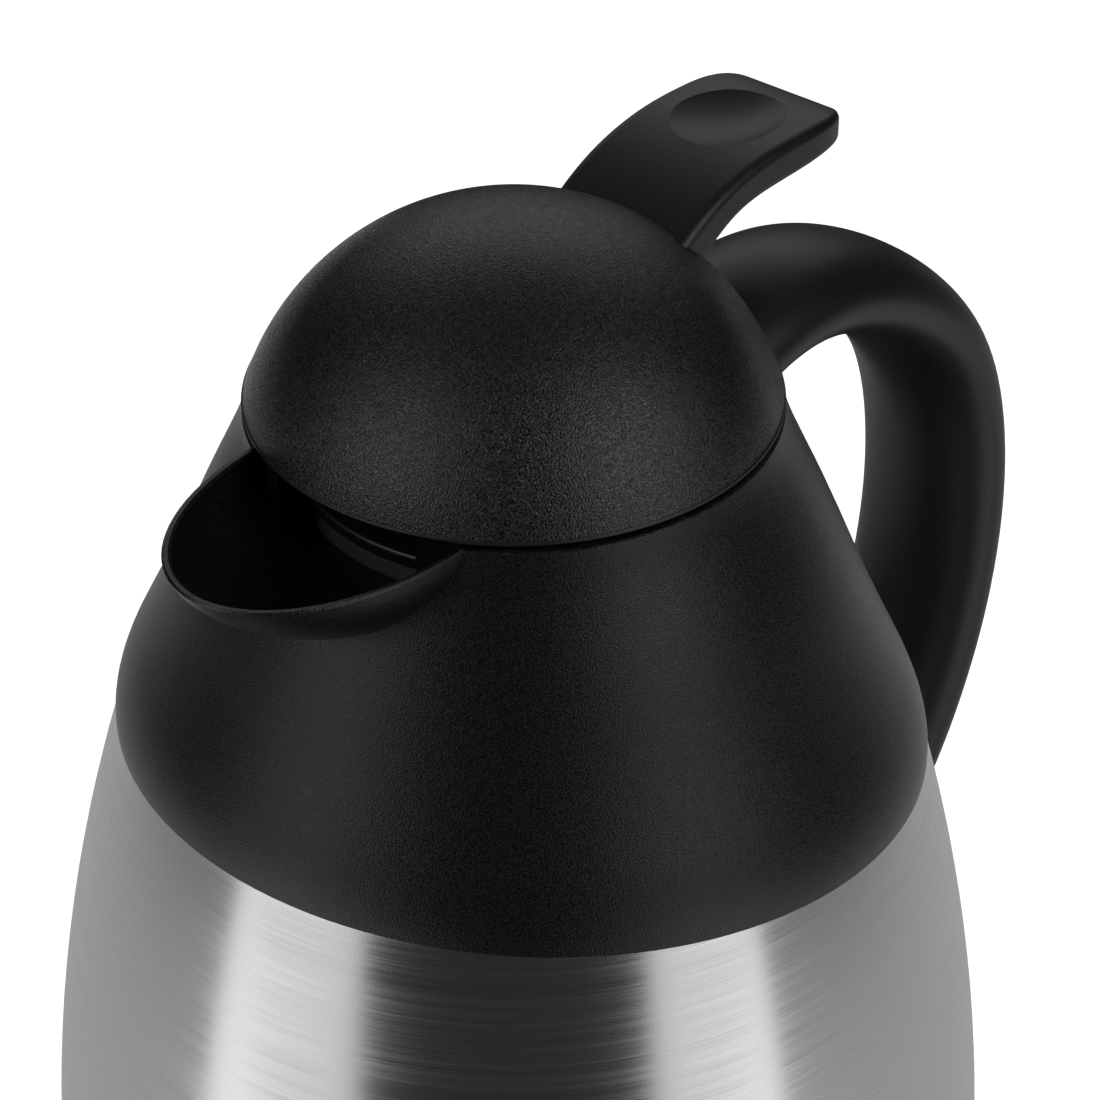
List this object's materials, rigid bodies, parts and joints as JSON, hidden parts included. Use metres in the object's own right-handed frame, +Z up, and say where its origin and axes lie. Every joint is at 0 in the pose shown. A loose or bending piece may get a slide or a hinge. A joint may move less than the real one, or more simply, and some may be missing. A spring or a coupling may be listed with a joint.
{
  "type": "insulated coffee jug",
  "caption": "Bellied insulated jug with a conical shoulder and spout, domed screw-off lid, thumb lever that lifts a pouring valve, and an arched handle.",
  "frame": {"origin": "centre of the flat rubber pad under the base", "axes": "+Z up the jug's axis, +X towards the handle, spout towards -X, mirror plane XZ"},
  "size_m": [0.1944, 0.15, 0.232],
  "materials": {
    "brushed_steel": "brushed around the belly",
    "grained_black_plastic": "fine spark grain, matte",
    "satin_black_plastic": "smooth satin",
    "stopper_plastic": "smooth moulded",
    "base_plastic": "matte moulded",
    "base_rubber": "matte",
    "seal_silicone": "translucent grey, matte",
    "flask_glass": "silvered vacuum glass",
    "spacer_felt": "pressed fibre pads",
    "steel_hardware": "bright drawn steel"
  },
  "bodies": {
    "jug_body": {"outer_shell": "brushed_steel", "base_ring": "base_plastic", "base_plate": "base_plastic", "base_pad": "base_rubber", "flask_cushion": "seal_silicone", "flask_outer_wall": "flask_glass", "flask_inner_wall": "flask_glass", "flask_spacers": "spacer_felt", "neck_gasket": "seal_silicone", "shoulder_collar": "grained_black_plastic", "handle": "satin_black_plastic", "handle_bracket": "steel_hardware", "handle_screw": "steel_hardware"},
    "lid_seat": {"stopper_gasket": "seal_silicone"},
    "lid": {"stopper_body": "stopper_plastic", "lid_deck": "stopper_plastic", "deck_screws": "steel_hardware", "lid_dome": "grained_black_plastic", "lever_pin": "steel_hardware", "valve_spring": "steel_hardware"},
    "lever": {"thumb_lever": "satin_black_plastic"},
    "valve": {"valve_stem": "stopper_plastic", "lift_pin": "steel_hardware", "valve_disc": "stopper_plastic", "valve_seal": "seal_silicone"}
  },
  "joints": [
    {"name": "lid_lift", "type": "slide", "parent": "jug_body", "child": "lid_seat", "axis": [0, 0, 1], "range_m": [0, 0.09]},
    {"name": "lid_turn", "type": "hinge", "parent": "lid_seat", "child": "lid", "pos_m": [0, 0, 0.1932], "axis": [0, 0, 1], "range_deg": [0, 120]},
    {"name": "lever_press", "type": "hinge", "parent": "lid", "child": "lever", "pos_m": [0.017, 0, 0.211], "axis": [0, 1, 0], "range_deg": [0, 17]},
    {"name": "valve_lift", "type": "slide", "parent": "lid", "child": "valve", "axis": [0, 0, 1], "range_m": [0, 0.00504], "stiffness_N_per_m": 200, "springref_m": -0.005, "deforming": ["valve_spring"]}
  ],
  "couplings": [
    {"joint": "lever_press", "follows": "valve_lift", "rad_per_m": 58.824}
  ]
}
